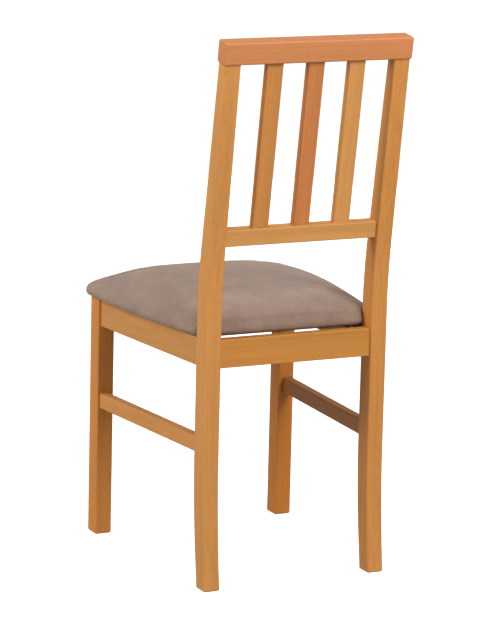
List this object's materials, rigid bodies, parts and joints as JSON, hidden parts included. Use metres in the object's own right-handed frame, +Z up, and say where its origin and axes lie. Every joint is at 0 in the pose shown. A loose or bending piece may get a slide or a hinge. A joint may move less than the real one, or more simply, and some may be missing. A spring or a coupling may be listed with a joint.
{
  "type": "dining chair",
  "caption": "Wooden side chair with a slatted back that leans back, side stretchers and an upholstered seat pad with a crowned top.",
  "frame": {"origin": "on the floor, under the middle of the chair's overall width and depth", "axes": "+Z up; the chair faces -Y; the sitter's left side is +X"},
  "size_m": [0.424, 0.5196, 0.96],
  "materials": {
    "lacquered_beech": "satin",
    "plain_beech": "matte",
    "plywood": "matte",
    "foam": "matte",
    "seat_fabric": "matte",
    "lining": "matte",
    "zinc_steel": "satin"
  },
  "bodies": {
    "root": {"rear_leg_left": "lacquered_beech", "rear_leg_right": "lacquered_beech", "front_leg_left": "lacquered_beech", "front_leg_right": "lacquered_beech", "crest_rail": "lacquered_beech", "lower_back_rail": "lacquered_beech", "back_slat_left": "lacquered_beech", "back_slat_middle": "lacquered_beech", "back_slat_right": "lacquered_beech", "rear_seat_rail": "lacquered_beech", "front_seat_rail": "lacquered_beech", "side_seat_rail_left": "lacquered_beech", "side_seat_rail_right": "lacquered_beech", "side_stretcher_left": "lacquered_beech", "side_stretcher_right": "lacquered_beech", "corner_block_front_left": "plain_beech", "corner_block_front_right": "plain_beech", "corner_block_rear_left": "plain_beech", "corner_block_rear_right": "plain_beech", "crest_dowels": "plain_beech", "seat_board": "plywood", "seat_foam": "foam", "seat_cover": "seat_fabric", "seat_lining": "lining", "corner_block_screws": "zinc_steel", "seat_screws": "zinc_steel", "lining_staples": "zinc_steel"}
  },
  "joints": []
}
